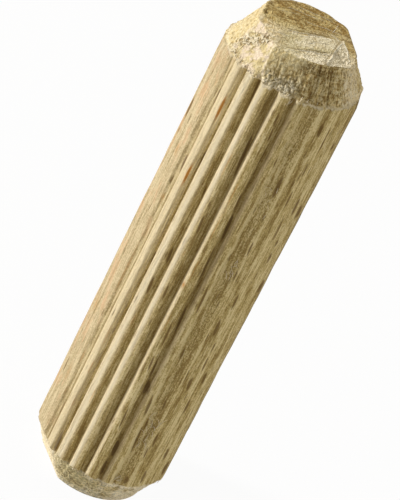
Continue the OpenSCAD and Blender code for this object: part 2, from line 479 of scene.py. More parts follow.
# ---------------------------------------------------------------- marks seen on the side
# direction, height, length, half width; short dark rays of the beech
RAYS = [
    (7, 27, 0.9, 0.8), (8.5, 26, 0.8, 0.7), (21.5, 24.6, 0.6, 0.7), (33, 23.2, 1.3, 1.7),
    (44.5, 27, 0.8, 1.3), (54.5, 26.9, 0.5, 1.2), (54.5, 26.1, 1.1, 1.3), (49.5, 24.4, 0.8, 0.9),
    (48.3, 22.4, 1.0, 1.2), (61.5, 21.8, 1.2, 1.5), (55, 20.3, 1.3, 1.5), (61, 19.3, 0.5, 1.3),
    (62, 18.3, 0.7, 1.5), (73, 21.2, 0.9, 2), (71, 28.2, 0.6, 2), (73, 25.6, 0.5, 1.8),
    (19.5, 15.2, 2.0, 0.9), (48, 15.4, 1.0, 1.2), (39, 17, 0.8, 0.8), (35.4, 17.2, 0.7, 0.7),
    (36.3, 19, 0.8, 0.8), (76, 15.9, 0.9, 2.4), (44, 13.4, 1.1, 1.1), (39.4, 12.8, 0.8, 0.8),
    (7, 12.4, 1.8, 0.8), (26.5, 11.4, 0.9, 0.8), (50, 12.1, 0.6, 1), (50.5, 10.9, 1.1, 0.9),
    (38.8, 10, 1.0, 0.9), (45.5, 9.4, 0.9, 1.3), (59.5, 9.7, 0.8, 1.4), (56.5, 7.7, 0.9, 1.5),
    (20, 7.6, 1.5, 1.0), (25.3, 5.2, 1.8, 0.9), (26.4, 6.3, 0.7, 0.9), (41, 5.3, 0.9, 1.2),
    (32, 7.9, 0.9, 0.7), (37.8, 4.3, 0.9, 0.8), (70, 5.4, 1.0, 2.1), (61, 4.1, 0.9, 1.5),
    (47.2, 2.6, 0.9, 1.2), (32.8, 2.3, 0.5, 1.8), (75, 2.6, 0.9, 2.5), (6.2, 10.3, 0.9, 0.7),
    (6.6, 6.3, 1.3, 0.7), (-34.7, 2.4, 1.6, 0.7), (-47, 25.9, 1.0, 1.2), (-32.3, 22.4, 1.3, 1.3),
    (-48, 21.5, 1.0, 1.4), (-51, 20.2, 0.4, 1), (-18.8, 27.9, 2.3, 0.9), (-3.2, 24.2, 2.6, 1.0),
    (-20.4, 16.6, 1.1, 1.0), (-22.6, 14.5, 1.2, 0.9), (-8.2, 19.3, 1.2, 0.8), (-8.8, 14.7, 1.0, 0.8),
    (-32.6, 15.7, 0.9, 1.0), (-18.6, 21, 0.9, 0.8), (10.2, 17.4, 2.4, 0.9), (11.8, 19.8, 1.8, 1.2),
    (9.8, 21.6, 1.2, 0.8), (12.5, 8.6, 1.0, 1.8), (10.2, 10, 1.4, 1.0), (12.4, 4.1, 1.1, 1.8),
    (10.6, 2.6, 1.1, 1.5), (12, 13.5, 1.8, 1.0),
]
ray = np.zeros_like(z)
hidden = np.random.default_rng(3)
HIDDEN_RAYS = 70
# least and most of a ray's direction, height, length and half width on the hidden side
HIDDEN_RANGES = ((84, 290), (2.5, 27.5), (0.5, 1.4), (0.7, 1.6))
unseen = [tuple(hidden.uniform(*limits) for limits in HIDDEN_RANGES) for _ in range(HIDDEN_RAYS)]
unseen = [(turn - 360 * (turn > 180), height, length, half) for turn, height, length, half in unseen]
for turn, height, length, half in RAYS + unseen:
    aside = np.abs(theta - turn + 0.6 * (z - height)) / (half * 1.1)
    along = np.abs(z - height) / (length * 0.55)
    ray = np.maximum(ray, np.exp(-aside ** 2 - along ** 2.2))
ray *= shaft

# amber spots: direction, height, length, half width, strength
AMBER = [
    (-37.0, 25.7, 1.2, 1.0, 1.2), (-37.2, 21.3, 1.1, 1.1, 1.1), (-62, 21.6, 0.7, 4, 0.45),
    (-66, 18.2, 0.3, 6, 0.35), (-54, 26.6, 0.9, 2, 0.3), (-9.6, 17.3, 0.7, 1.1, 0.35),
    (-10, 19.9, 0.5, 1, 0.3), (1.0, 15.6, 0.5, 1.6, 0.6), (4.2, 25.4, 0.5, 1, 0.3),
    (-76, 22.4, 0.5, 7, 0.4), (-51, 19, 0.7, 1.6, 0.4), (-70, 10.5, 1.5, 7, 0.35),
    (-60, 6, 1.6, 5, 0.3), (-31, 17.5, 1.2, 1.2, 0.4), (-37, 10, 1.4, 1.0, 0.4),
    (-22.5, 12, 1.0, 1, 0.35),
]
amber = np.zeros_like(z)
for turn, height, length, half, strength in AMBER:
    aside, along = (theta - turn) / half, (z - height) / length * 1.7
    amber = np.maximum(amber, strength * np.exp(-aside ** 2 - along ** 2))

for turn in (-37.6, -24.2, -51.5, -10.8, 3.2):
    stain = 0.42 * bump(theta, turn, 0.7) * ease(0.0, 0.5, noise(z / 1.3, turn, 0.5, 30))
    amber = np.maximum(amber, stain * shaft)

# lighter and darker bands that run the whole length: direction, half width, strength; on the right front
# they are partly painted light on flanks that face right and painted shade beside them and on the limb,
# partly tone of the wood; behind, tone of the wood
BANDS = [
    (22.8, 1.9, 1.25), (37.2, 2.2, 0.95), (51, 3.2, 0.72), (65.5, 5, 0.38), (17, 3, 0.15),
    (32, 3.2, -0.42), (28.3, 0.9, 0.85), (44, 3.4, -0.3), (26.8, 1.2, -0.15), (57.5, 3, 0.05),
    (74, 4, 0.12), (89, 8, -0.45), (-6, 2.5, 0.1), (-21, 2.4, -0.15), (106, 4, 0.2), (128, 4, -0.25),
    (150, 6, 0.25), (168, 4, -0.3), (-165, 5, 0.25), (-140, 5, -0.25), (-115, 5, 0.2),
]
tone = 0.22 * streaks(5, 11, 31) + 0.12 * streaks(1.6, 7, 32)
for turn, half, strength in BANDS:
    tone += strength * bump(apart(theta, turn), 0.6 * noise(z / 4, turn, 0.5, 33), half)

# painted shade in the flutes, deepest just right of the front
shade_across = striped(0.38, (5, 13, 0.66), (-19, 9, 0.04), (12, 2.5, 0.3))
floor_place = ((theta - wander - CREST_TURN) % PITCH - PITCH / 2) / 2.6
shaft_shade = ease(0.35, 0.95, groove) * np.clip(0.78 + 0.3 * floor_place, 0.3, 1.1)
shaft_shade = shaft_shade * shade_across * (0.85 + 0.15 * streaks(2, 2.5, 34))
slope = (np.roll(section, -1, 1) - np.roll(section, 1, 1)) / 2
# painted highlight on the flanks that face the window lamp and along three lit crests, on the front only
flank_highlight = ease(0.004, 0.022, slope) * ease(0.98, 0.7, groove)
flank_highlight += ease(0.3, 0.1, groove) * bump(apart(theta, -35), 0, 16) * 0.6
flank_highlight = striped(flank_highlight, (-41.5, 4, 0.9), (-26.6, 2.4, 0.9), (-13.4, 2.6, 0.9))
flank_highlight = np.clip(flank_highlight, 0, 1) * ease(-54, -46, theta) * ease(20, 10, theta) * shaft
# painted light: the wood on the side toward the window lamp is painted paler
lit_side_band = np.clip(ease(-43, -56, theta) * ease(-150, -120, theta), 0, 1)

# pale torn lips at both ends of the crests, and painted highlights along two crests and two fine ridges of
# the flute floors
lip = bump(moved, TOP_EDGE - 0.03, 0.055) * ease(0.95, 0.5, groove)
lip = lip * ease(-0.6, 0.1, noise(theta / 1.6, 0.5, 0.5, 35)) * (0.5 + 0.7 * ease(-14, -6, theta))
lip_low = bump(moved, FOOT_CHAMFER - 0.03, 0.09) * ease(-0.7, 0.1, noise(theta / 1.6, 0.5, 0.5, 36))
lines = striped(0, (-35.0, 0.5, 0.4), (-48.9, 0.6, 0.3), (-26.5, 1.3, 0.6), (-13.4, 1.3, 0.7))
pale = np.clip(lip + lip_low * (0.25 + 0.75 * ease(-10, 25, theta)) + lines * shaft, 0, 1)
# pale end grain on the upper chamfer, painted paler still on the left flat and the crumb tops as painted
# light from the window lamp
pale_end = left_flat * (0.33 + 0.4 * band * ease(0.1, 0.7, crumbs))
pale_end += front_left * (0.16 + 0.5 * ease(0.2, 0.8, crumbs) * low_half)
# lighter along the lower edge of the front left, and a painted highlight beside the corner edge
pale_end = pale_end + 0.5 * front_left * low_edge + 0.5 * bump(past, -0.7, 0.9) * ease(1.8, 1.5, below_rim)
# painted light on the side toward the window lamp
pale_end += ease(-54, -70, theta) * 0.42
# pale end grain on the far right, painted paler still as painted light
far_right = (0.25 + 0.8 * bump(theta, 70, 11)) * ease(44, 60, theta)
pale_end += far_right * (0.85 + 0.25 * streaks(4, 0.6, 28))
# pale end grain on the lower chamfer, painted paler toward the right and at the left edge as painted light
pale_low = 0.02 + 0.83 * ease(-25, 55, theta) + 0.3 * ease(25, 50, theta)
pale_low *= 0.85 + 0.9 * streaks(6, 0.25, 29)
pale_low = pale_low + 0.5 * bump(z, 0.1, 0.25) + 0.8 * ease(-14, -46, theta)
pale = np.clip(pale + pale_end * up_end + pale_low * low_end, 0, 1)
# painted shade under the rim, on the front right, between the crumbs and in the cuts
shadow_end = 0.26 * ease(0.05, 0.7, below_rim) + 0.46 * bump(below_rim, 0.95, 0.4) - 0.45 * low_edge
shadow_end = front_left * shadow_end * ease(1.4, 0.2, crumbs)
shadow_end += front_right * ease(58, 38, theta) * (0.30 - 0.34 * strokes - 0.14 * low_half)
shadow_end += 0.4 * bump(theta, 22, 16) * bump(below_rim, 0.42, 0.18)
shadow_end += 0.5 * bump(theta, 41, 1.2) * front_right
# painted shade down the right side, away from the window lamp
shaft_shade += 0.4 * ease(70, 89, theta) * ease(190, 95, theta)
# painted shade deepened at two places in the flutes and lightened at one
shaft_shade = striped(shaft_shade, (-46.2, 1.3, 1.2), (-51.3, 1.3, -0.3), (-36.7, 1.0, 0.7))
painted_shade = np.clip(shaft_shade * shaft + shadow_end * up_end * ease(0, 0.15, below_rim), 0, 1)
tone_low = -0.28 + 0.45 * streaks(5, 0.22, 38)
# painted shade between the crumbs of the left flat and the front left
between_crumbs = ease(0.35, 0.05, crumbs)
crumb_shade = -left_flat * (0.1 + 0.45 * band) * between_crumbs - 0.2 * front_left * between_crumbs
crumbly = left_flat * (0.08 + 0.92 * band) + front_left * (0.1 + 0.4 * low_half)
crumbly = np.clip(crumbly + 0.35 * front_right + 0.1 * rest, 0, 1)
end_grain = np.clip(up_end + low_end, 0, 1)
# painted shade: a cool darkening of the lower end toward the left, the crumbled front left and the left
# flat, deepest in their pores
creased = low_end * (0.5 + 0.5 * ease(50, 10, theta)) * ease(-48, -12, theta)
creased = creased + up_end * front_left * (0.2 + 0.45 * low_half) + up_end * left_flat * (0.15 + 0.05 * band)
# painted shade: a warm darkening between the crumbs and in the grit of both ends
hollow = np.clip(0.7 * (1 - crumbs) + 0.5 * (1 - grit), 0, 1)
hollow *= up_end * (1 - 0.2 * rest - 0.5 * left_flat) + 0.6 * low_end
grey = 0.55 * front_left * up_end + 0.12 * front_right * up_end + 0.4 * low_end * ease(40, -30, theta)
grey = np.clip(grey, 0, 1)
pink = left_flat * up_end * (1 - band) * 0.8
side_strokes = np.clip((front_right + 0.45 * rest) * up_end, 0, 1)


# ---------------------------------------------------------------- closing the two ends
FACE_R = 2.7             # radius of the end face, roughly
CROWDED = 0.03           # a ring whose points would stand closer is halved
FEWEST = 30              # but not one with as few points as this
INNERMOST = 0.04         # share of the rim at which the rings stop


def cap(rim, ring, height_of, start, step, upward):
    """Rings that close an end, with half as many points wherever they would crowd."""
    verts, faces = [], []
    columns = np.arange(COLUMNS)
    serial, share = start, 1.0
    while share - step > INNERMOST:
        share -= step
        n = len(columns)
        halve = n > FEWEST and share * 2 * math.pi * FACE_R / n < CROWDED
        columns = columns[::2] if halve else columns
        m = len(columns)
        xy = rim[columns] * share
        verts.append(np.column_stack([xy, height_of(xy[:, 0], xy[:, 1])]))
        new = serial + np.arange(m)
        serial += m
        k = np.arange(m)
        p, q = new[k], new[(k + 1) % m]
        if halve:
            a, b, c = ring[2 * k], ring[2 * k + 1], ring[(2 * k + 2) % n]
            faces += [np.stack([a, b, p], -1), np.stack([b, c, q], -1), np.stack([b, q, p], -1)]
        else:
            a, b = ring[k], ring[(k + 1) % n]
            faces += [np.stack([a, b, q], -1), np.stack([a, q, p], -1)]
        ring = new
    verts.append(np.array([[0, 0, height_of(np.zeros(1), np.zeros(1))[0]]]))
    n = len(ring)
    k = np.arange(n)
    faces.append(np.stack([ring[k], ring[(k + 1) % n], np.full(n, serial)], -1))
    faces = np.concatenate(faces)
    return np.concatenate(verts), faces if upward else faces[:, ::-1], serial + 1


def foot_height(px, py):
    """The lower face, a little hollow and rough inside its rim."""
    inner = ease(3.1, 2.6, np.hypot(px, py))
    return 0.03 * inner * (0.4 + 0.6 * lumps((px, py, px * 0), 0.4, 51))


n_rows = len(z)
start = n_rows * COLUMNS
first, last = np.arange(COLUMNS), (n_rows - 1) * COLUMNS + np.arange(COLUMNS)
top_verts, top_faces, start = cap(
    side[0][:, :2], first, lambda a, b: PIN_LEN - end_face_drop(a, b), start, 0.024, True)
low_verts, low_faces, start = cap(side[-1][:, :2], last, foot_height, start, 0.05, False)

quads = []
for k in range(n_rows - 1):
    a = k * COLUMNS + np.arange(COLUMNS)
    b = k * COLUMNS + (np.arange(COLUMNS) + 1) % COLUMNS
    quads.append(np.stack([a, a + COLUMNS, b + COLUMNS, b], -1))
quads = np.concatenate(quads)

# what the end face is made of
ex, ey = top_verts[:, 0], top_verts[:, 1]
part = end_parts(ex, ey)
er = np.hypot(ex, ey)
eu, ev = along_split(ex, ey)
arc = np.hypot(ex + 1.5, ey + 6.5)
arcs = noise(arc / 0.26, np.arctan2(ex + 1.5, ey + 6.5) * 4, 0.5, 61)
clumps = lumps((ex, ey, ex * 0), 0.34, 43)
end_grey = part.middle * 0.75 + part.front * 0.6 + part.right * 0.4
end_grey += 0.45 * bump(part.wing, 0.25, 0.3) * ease(-0.3, 0.3, part.wing_s)
lit_middle = 0.5 * part.middle * ease(-0.8, 0.2, ex) * ease(0.1, 0.5, part.ledge)
end_pale = 0.05 * part.middle + lit_middle * ease(0.9, 0.4, np.abs(part.wing + 0.55))
end_pale = end_pale + 0.45 * part.front * ease(-0.2, 0.5, ex) + 0.2 * part.front + 0.8 * part.right
end_pale += part.back * (0.7 * ease(-0.3, -1.6, ey) + 0.3 * ease(1.9, 2.5, ex))
for line_start, line_end, height in SCRATCHES:
    end_pale += scratch_mark(14 * max(height, 0), ex, ey, line_start, line_end, 0.045)
# painted highlights along the ledge, the two corner lines and the wing line
end_pale += 0.6 * bump(part.ledge, 0.02, 0.05) * ease(0, 0.2, part.ledge_s)
end_pale += 1.2 * bump(part.corner, 0, 0.06) * ease(1.1, 1, part.corner_s)
end_pale += line_mark(1, part.corner_b, part.corner_bs, 0.06)
end_pale += line_mark(0.6, part.wing + 0.03, part.wing_s, 0.05, 0.1, (1.05, 0.9))
end_pale += 0.35 * ease(2.4, 2.8, er) * ease(0.2, 0.8, clumps)
# painted shadow beside the wing line, the ledge and the corner, and painted shade between the clumps
end_shade = 0.22 * bump(part.wing, 0.1, 0.08) * ease(0, 0.2, part.wing_s)
end_shade += 0.3 * bump(part.ledge, 0.09, 0.06) * ease(-0.1, 0.3, part.ledge_s)
end_shade += 0.35 * bump(part.corner, 0.07, 0.05) * ease(1.1, 1, part.corner_s)
end_shade += 0.25 * ease(0.5, 0.3, clumps) * (1 - 0.6 * part.back)
# the bruises at the left are darker
for bx, by, size, depth in BRUISES[:3]:
    end_shade += 2.2 * depth * bruise_mark(ex, ey, bx, by, size)
end_tone = -part.back * (0.46 + 0.26 * ease(-0.1, 0.8, arcs)) * ease(-0.8, 0.2, ey)
for bx, by, long, wide, turn, strength in PATCHES:
    cx, cy = math.cos(math.radians(turn)), math.sin(math.radians(turn))
    pu, pv = (ex - bx) * cx + (ey - by) * cy, (ey - by) * cx - (ex - bx) * cy
    end_tone -= 0.8 * strength * bump(pu + 0.1 * clumps, 0, long) * bump(pv + 0.1 * arcs, 0, wide)
end_tone += 0.15 * noise(eu, ev / 0.2, 0.5, 62)
# painted shade between the clumps of the end face, and a warmer tint on the back
end_hollow = 0.7 * ease(0.6, 0.3, clumps) * (0.4 + 0.6 * part.back) + 0.3 * part.back
end_crumbly = 0.12 + 0.3 * part.right + 0.2 * part.front
zero_top, zero_low = 0 * ex, 0 * low_verts[:, 0]
# what the material reads: each layer's values on the side, on the end face and on the lower face
LAYERS = dict(
    end_grain=(end_grain, zero_top + 1, zero_low + 1),
    tone=(tone * shaft + crumb_shade * up_end + tone_low * low_end, end_tone, zero_low),
    painted_shade=(painted_shade, end_shade, zero_low + 0.1),
    flank_highlight=(flank_highlight, zero_top, zero_low),
    lit_side_band=(lit_side_band * shaft, zero_top, zero_low),
    ray=(ray, zero_top, zero_low),
    amber=(amber, zero_top, zero_low),
    pale=(pale, end_pale, zero_low + 0.2),
    grey=(grey, end_grey, zero_low + 0.3),
    pink=(pink, zero_top, zero_low),
    fuzz=(np.clip(fuzz + torn, 0, 1) * shaft, zero_top, zero_low),
    strokes=(side_strokes, zero_top, zero_low),
    gaps=(np.clip(gaps, 0, 1) * up_end, zero_top, zero_low),
    crumbly=(crumbly * up_end + 0.18 * low_end, end_crumbly, zero_low + 0.6),
    face=(0 * z, zero_top + 1, zero_low),
    creased=(creased, zero_top, zero_low + 0.5),
    hollow=(hollow, end_hollow, zero_low + 0.3),
)


def add_piece(name, verts, faces, layers):
    """A smooth mesh in the scene, with the layers that its material reads."""
    mesh = bpy.data.meshes.new(name)
    mesh.from_pydata(verts, [], faces)
    mesh.update()
    mesh.shade_smooth()
    for layer_name, values in layers.items():
        layer = mesh.attributes.new(layer_name, "FLOAT", "POINT")
        layer.data.foreach_set("value", np.clip(values, -1, 1).astype(np.float32))
    piece = bpy.data.objects.new(name, mesh)
    bpy.context.scene.collection.objects.link(piece)
    return piece


def build_pin():
    verts = np.concatenate([side.reshape(-1, 3), top_verts, low_verts]) * MM
    polys = quads.tolist() + top_faces.tolist() + low_faces.tolist()
    layers = {}
    for name, (on_side, on_top, on_foot) in LAYERS.items():
        layers[name] = np.concatenate([np.broadcast_to(on_side, z.shape).reshape(-1), on_top, on_foot])
    return add_piece("fluted_pin", verts.tolist(), polys, layers)


# ---------------------------------------------------------------- shader arithmetic
class Wire:
    """A number, colour or vector in a node tree, with ordinary arithmetic."""

    def __init__(self, tree, socket):
        self.tree, self.socket = tree, socket

    def node(self, kind, settings=(), **inputs):
        made = self.tree.nodes.new(kind)
        for key, value in dict(settings).items():
            setattr(made, key, value)
        for key, value in inputs.items():
            plug = made.inputs[int(key[1:])] if key[1:].isdigit() else made.inputs[key.replace("_", " ")]
            if isinstance(value, Wire):
                self.tree.links.new(value.socket, plug)
            else:
                plug.default_value = value
        return made

    def out(self, made, index=0):
        return Wire(self.tree, made.outputs[index])

    def math(self, operation, *values):
        inputs = {"_%d" % i: v for i, v in enumerate(values)}
        return self.out(self.node("ShaderNodeMath", {"operation": operation}, **inputs))

    def __add__(self, other):
        return self.math("ADD", self, other)

    def __radd__(self, other):
        return self.math("ADD", other, self)

    def __sub__(self, other):
        return self.math("SUBTRACT", self, other)

    def __rsub__(self, other):
        return self.math("SUBTRACT", other, self)

    def __mul__(self, other):
        return self.math("MULTIPLY", self, other)

    def __rmul__(self, other):
        return self.math("MULTIPLY", other, self)

    def ramp(self, low, high):
        """0 below low and 1 above high; low may be the larger."""
        settings = {"interpolation_type": "SMOOTHSTEP"}
        ends = dict(From_Min=low, From_Max=high)
        if low > high:
            ends = dict(From_Min=high, From_Max=low, To_Min=1.0, To_Max=0.0)
        return self.out(self.node("ShaderNodeMapRange", settings, Value=self, **ends))

    def larger(self, other):
        return self.math("MAXIMUM", self, other)

    def blend(self, share, low, high, way="MIX"):
        settings = {"data_type": "RGBA", "blend_type": way}
        return self.out(self.node("ShaderNodeMix", settings, _0=share, _6=low, _7=high), 2)

    def mix(self, other, share):
        """This colour, turning into the other as share grows."""
        return self.blend(share, self, other)

    def between(self, low, high):
        """The first colour where this is 0, the second where it is 1."""
        return self.blend(self, low, high)

    def times(self, other, share=1.0):
        """This colour, multiplied by the other as share grows."""
        return self.blend(share, self, other, "MULTIPLY")

    def stretch(self, factors):
        made = self.node("ShaderNodeVectorMath", {"operation": "MULTIPLY"}, _0=self, _1=factors)
        return self.out(made)

    def noise(self, factors, detail=2.0, roughness=0.5, distortion=0.0):
        made = self.node("ShaderNodeTexNoise", (), Vector=self.stretch(factors), Scale=1.0, Detail=detail,
                         Roughness=roughness, Distortion=distortion)
        return self.out(made)

    def grain(self, factors, spread, detail=2.0, roughness=0.5):
        """Noise with its middle range stretched, from -0.5 to 0.5."""
        return self.noise(factors, detail, roughness).ramp(0.5 - spread, 0.5 + spread) - 0.5

    def cells(self, factors):
        return self.out(self.node("ShaderNodeTexVoronoi", (), Vector=self.stretch(factors), Scale=1.0))

    def dot(self, direction):
        made = self.node("ShaderNodeVectorMath", {"operation": "DOT_PRODUCT"}, _0=self, _1=direction)
        return self.out(made, 1)

    def strokes(self, lines, waver):
        """1 on thin straight lines across the plan, each given by its start, end and half width."""
        marks = None
        for (ax, ay), (bx, by), half in lines:
            length = math.hypot(bx - ax, by - ay)
            ux, uy = (bx - ax) / length, (by - ay) / length
            along = self.dot((ux / length, uy / length, 0)) - (ax * ux + ay * uy) / length
            aside = self.dot((-uy, ux, 0)) - (ay * ux - ax * uy) + waver
            mark = aside.math("ABSOLUTE", aside).ramp(half, half * 0.2) * along.ramp(0.0, 0.1)
            mark *= along.ramp(1.0, 0.88)
            marks = mark if marks is None else marks.larger(mark)
        return marks


def shade(r, g, b):
    return (r, g, b, 1.0)


STRAW = shade(0.60, 0.445, 0.165)
STRAW_LIGHT = shade(0.88, 0.72, 0.38)
STRAW_BROWN = shade(0.36, 0.235, 0.07)
LIT_FLANK = shade(0.92, 0.765, 0.49)
LIT_SIDE_WOOD = shade(0.795, 0.65, 0.405)
LIT_SIDE_DARK = shade(0.46, 0.34, 0.17)
AMBER_STAIN = shade(0.64, 0.27, 0.04)
BLUSH = shade(0.76, 0.47, 0.25)
RAY_BROWN = shade(0.20, 0.11, 0.025)
SHADE_BROWN = shade(0.38, 0.31, 0.17)
END_STRAW = shade(0.68, 0.545, 0.26)
END_LIGHT = shade(0.92, 0.79, 0.50)
END_BROWN = shade(0.33, 0.21, 0.06)
END_GREY = shade(0.78, 0.71, 0.49)
END_PALE = shade(1.0, 0.88, 0.645)
ROSE = shade(0.86, 0.70, 0.54)
CRUMB_GAP = shade(0.62, 0.37, 0.10)
HOLLOW = shade(1.0, 0.90, 0.68)
STRAND_PALE = shade(1.0, 0.93, 0.74)
CREASE_SHADE = shade(0.64, 0.70, 0.78)
SPLIT_TURN = math.radians(32)     # turns the grain of the end face to the split
RELIEF = 0.05 * MM                # depth of the finest grain
# pale strands on the end face, partly painted highlights of the edges they lie on, and dark cuts, partly
# painted shadow beside those edges: start, end and half width
STRANDS = (
    ((1.5, -2.45), (1.76, 0.55), 0.07), ((1.76, 0.55), (2.55, -0.95), 0.055),
    ((-0.55, -2.32), (1.45, -1.25), 0.03), ((-1.15, -1.0), (1.15, 0.3), 0.035),
    ((1.0, 0.72), (1.6, 0.4), 0.04), ((1.15, 2.0), (1.05, 0.9), 0.02),
    ((-0.15, -0.8), (0.4, -0.05), 0.03), ((0.15, -1.35), (0.85, -0.35), 0.025),
    ((-1.9, 0.5), (-0.9, 1.15), 0.02), ((-1.7, 1.25), (0.5, 1.75), 0.03),
    ((-0.5, 0.75), (1.6, 1.25), 0.03), ((-1.2, 1.9), (1.2, 2.2), 0.03),
    ((0.9, -1.9), (1.4, -1.55), 0.03), ((1.75, -0.9), (2.35, -1.2), 0.035),
    ((-1.6, -1.6), (-0.7, -1.3), 0.03), ((-0.7, -2.5), (0.6, -2.35), 0.03),
)
CUTS = (
    ((1.36, -2.3), (1.62, 0.4), 0.025), ((-0.5, -2.22), (1.4, -1.16), 0.03),
    ((-1.2, -0.92), (1.1, 0.38), 0.03), ((-2.5, -0.65), (-2.55, 0.0), 0.06),
    ((-2.2, 0.6), (-1.2, 1.4), 0.04), ((0.2, 0.5), (1.5, 0.95), 0.03),
    ((-1.9, -0.2), (-0.7, 0.35), 0.04), ((1.9, 0.9), (2.0, 1.5), 0.04),
    ((-0.9, 1.0), (0.2, 1.45), 0.03), ((0.3, -0.9), (1.2, -0.5), 0.025),
)


def beech_material():
    mat = bpy.data.materials.new("bare_beech")
    mat.use_nodes = True
    tree = mat.node_tree
    surface = tree.nodes["Principled BSDF"]
    place = tree.nodes.new("ShaderNodeTexCoord")
    here = Wire(tree, place.outputs["Object"]).stretch((1 / MM, 1 / MM, 1 / MM))

    def layer(name):
        made = here.node("ShaderNodeAttribute", {"attribute_name": name})
        return Wire(tree, made.outputs["Fac"])

    end_grain, tone, painted_shade = layer("end_grain"), layer("tone"), layer("painted_shade")
    fuzz, pale, grey = layer("fuzz"), layer("pale"), layer("grey")

    broad = here.grain((1.7, 1.7, 0.09), 0.2, 2.0)
    streak = here.grain((5.0, 5.0, 0.3), 0.2, 3.0, 0.6)
    fibre = here.grain((11, 11, 0.9), 0.2, 3.0, 0.7)
    speck = here.grain((13, 13, 9), 0.2, 3.0, 0.7)
    mottle = here.grain((3.4, 3.4, 1.4), 0.2, 3.0, 0.6)

    # long grain
    value = 0.5 + 0.5 * tone + broad * 0.2 + streak * 0.45 + fibre * 0.9 + speck * 0.6
    value = value + mottle * 0.22 + speck * fuzz * 0.6
    long_grain = value.ramp(0.0, 0.5).between(STRAW_BROWN, STRAW).mix(STRAW_LIGHT, value.ramp(0.5, 1.0))
    # painted light: paler wood on the side toward the window lamp
    left = layer("lit_side_band")
    lit_side_wood = (0.6 + speck * 0.6 + fibre * 0.4 + streak * 0.4).ramp(0, 1).between(LIT_SIDE_DARK, LIT_SIDE_WOOD)
    long_grain = long_grain.mix(lit_side_wood, left * 0.85)
    long_grain = long_grain.mix(BLUSH, left * here.noise((1.1, 1.1, 0.45), 3.0, 0.65).ramp(0.5, 0.68) * 0.6)
    # painted highlight on the flanks and crests that face the window lamp
    long_grain = long_grain.mix(LIT_FLANK, layer("flank_highlight") * (0.8 + fibre * 0.25 + speck * 0.2))
    long_grain = long_grain.mix(AMBER_STAIN, (layer("amber") * (1.0 + speck * 0.5)).ramp(0.08, 0.75))
    small_cells = here.cells((3.6, 3.6, 0.62))
    small_rays = small_cells.ramp(0.24, 0.1) * here.noise((0.9, 0.9, 0.3), 1.0).ramp(0.40, 0.58)
    ray_edge = (layer("ray") + fibre * 0.35 + speck * 0.2).ramp(0.3, 0.55)
    long_grain = long_grain.mix(RAY_BROWN, (ray_edge * 0.85).larger(small_rays * 0.65))

    # end grain: crumbly, drawn into strokes on the right of the chamfer, and split along one way on the face
    strokes = layer("strokes")
    turned = here.node("ShaderNodeVectorRotate", {"rotation_type": "Z_AXIS"}, Vector=here, Angle=-SPLIT_TURN)
    turned = here.out(turned)
    pores = here.grain((7, 7, 7), 0.13, 1.0, 0.5)
    grit = here.grain((11, 11, 11), 0.17, 2.0, 0.6)
    drawn = here.grain((8, 8, 1.1), 0.14, 3.0, 0.65)
    torn = turned.grain((1.3, 7.5, 4), 0.2, 3.0, 0.65)
    rough = (pores * 0.9 + grit * 0.4) * (1 - 0.5 * strokes)
    crumbly = layer("crumbly")
    saw = here.grain((1.4, 1.4, 10), 0.2, 2.0, 0.6)
    end_value = 0.5 + 0.5 * tone + rough * (0.13 + crumbly * 1.1) + (drawn * 1.2 + saw * 0.7) * strokes
    end_value = end_value + torn * layer("face") * 0.22 + mottle * 0.35
    ends = end_value.ramp(0.0, 0.5).between(END_BROWN, END_STRAW).mix(END_LIGHT, end_value.ramp(0.55, 1.1))
    ends = ends.mix(END_GREY, grey * (0.6 + pores * 0.4))
    broken_up = 0.9 + rough * (0.3 + crumbly * 0.6) + drawn * strokes * 0.6 + torn * 0.3
    ends = ends.mix(END_PALE, (pale * broken_up).ramp(0.05, 0.95))
    ends = ends.mix(CRUMB_GAP, layer("gaps") * (0.6 + pores * 0.9))
    # painted warm shade in the hollows
    ends = ends.times(HOLLOW, layer("hollow"))
    # painted shade in the pores and creases
    ends = ends.times(CREASE_SHADE, layer("creased") * (0.6 - pores * 0.7 - grit * 0.25))
    waver = (here.noise((2.5, 2.5, 2.5), 2.0) - 0.5) * 0.16
    lit, cut = here.strokes(STRANDS, waver), here.strokes(CUTS, waver)
    lit, cut = lit * layer("face"), cut * layer("face")
    # painted highlights along the end face's edges, and dark cuts that are partly painted shadow
    ends = ends.mix(STRAND_PALE, lit * 0.85).mix(END_BROWN, cut * 0.6)
    ends = ends.mix(ROSE, layer("pink") * here.noise((2.2, 2.2, 2.2), 2.0).ramp(0.45, 0.6))

    wood = long_grain.mix(ends, end_grain)
    wood = wood.mix(END_PALE, pale * (1 - end_grain) * 0.85)
    # painted shade in the flutes, down the right side, under the upper rim and beside the end face's edges
    wood = wood.times(SHADE_BROWN, painted_shade)
    tree.links.new(wood.socket, surface.inputs["Base Color"])
    surface.inputs["Roughness"].default_value = 0.72
    surface.inputs["Specular IOR Level"].default_value = 0.25

    height = (fibre + speck * (0.8 + fuzz * 0.5)) * (1 - end_grain)
    height += (grit * 0.4 + pores * 1.3) * end_grain * (0.4 + crumbly * 2.2)
    height = height + (drawn + saw * 0.7) * strokes * 1.3 - ray_edge * 0.3
    height = height + lit * 1.6 - cut * 1.4
    relief = here.node("ShaderNodeBump", (), Strength=0.8, Distance=RELIEF, Height=height)
    tree.links.new(relief.outputs["Normal"], surface.inputs["Normal"])
    return mat


# torn fibres: first and last direction, height, how many, length, lean from upright
TORN = (
    (-16, 48, TOP_EDGE + 0.02, 26, 0.26, 50), (-62, -20, TOP_EDGE + 0.05, 10, 0.22, 60),
    (50, 86, TOP_EDGE, 8, 0.2, 40), (-20, 80, FOOT_CHAMFER + 0.02, 22, 0.22, 130),
    (26, 37, 5.6, 14, 0.75, 24), (20, 28, 2.1, 6, 0.5, 20), (8, 12, 28.0, 4, 0.4, 20),
    (27, 36, 17.0, 8, 0.5, 12), (27, 36, 22.0, 6, 0.5, 12),
)
FIBRE_R = 0.026
FIBRE_SIDES = 3
FIBRE_SHARES = (0, 0.25, 0.5, 0.75, 1)


